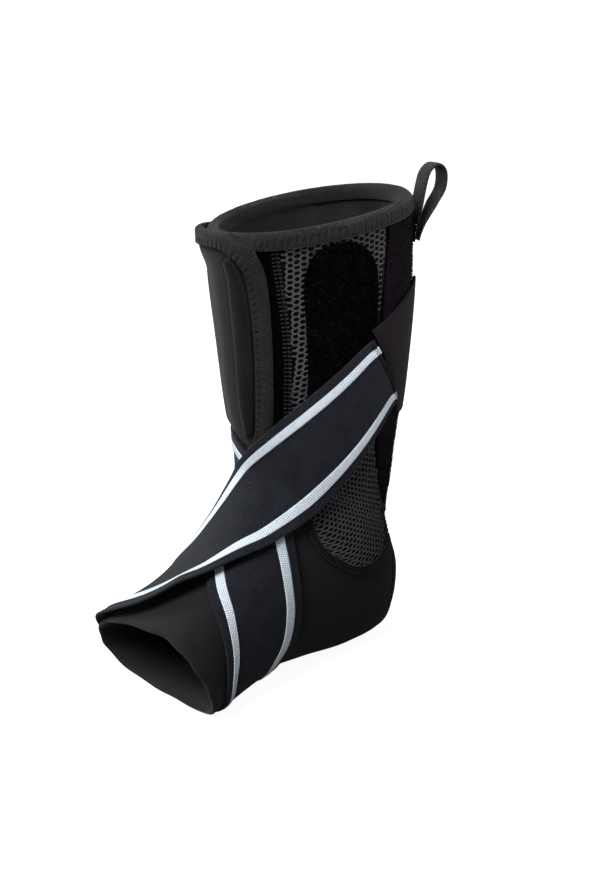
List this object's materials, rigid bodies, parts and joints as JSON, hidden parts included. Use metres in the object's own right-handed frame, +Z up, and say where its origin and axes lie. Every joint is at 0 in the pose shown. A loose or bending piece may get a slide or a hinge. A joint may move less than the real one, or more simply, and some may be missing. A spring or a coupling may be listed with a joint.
{
  "type": "foot brace",
  "caption": "Open-toed neoprene ankle and foot brace with a front flap, mesh and loop panels, crossed elastic straps with pale stripes, and a pull loop at the rim.",
  "frame": {"origin": "on the floor under the ankle, on the flat underside of the heel", "axes": "+X towards the toes, +Y towards the inner side of the leg, +Z up"},
  "size_m": [0.1678, 0.0988, 0.2371],
  "materials": {
    "neoprene": "black jersey-faced neoprene, matt",
    "spacer_mesh": "open knitted spacer mesh, dark grey over black",
    "loop_cloth": "black brushed loop cloth",
    "knitted_tape": "black knitted edge tape",
    "elastic": "woven ribbed elastic, blue-black",
    "stripe": "pale grey-blue woven stripe",
    "hook_tab": "smooth black laminate over hook tape",
    "webbing": "black ribbed webbing"
  },
  "bodies": {
    "root": {"neoprene_boot": "neoprene", "mesh_panel": "spacer_mesh", "rear_panel": "loop_cloth", "front_loop_panel": "loop_cloth", "loop_patch": "loop_cloth", "front_flap": "neoprene", "flap_binding": "knitted_tape", "flap_pad": "neoprene", "top_binding": "knitted_tape", "pull_loop": "webbing", "medial_strap": "elastic", "medial_strap_tab": "hook_tab", "medial_stripe_upper": "stripe", "medial_stripe_lower": "stripe", "lateral_strap": "elastic", "lateral_strap_tab": "hook_tab", "lateral_stripe_upper": "stripe", "lateral_stripe_lower": "stripe"}
  },
  "joints": []
}
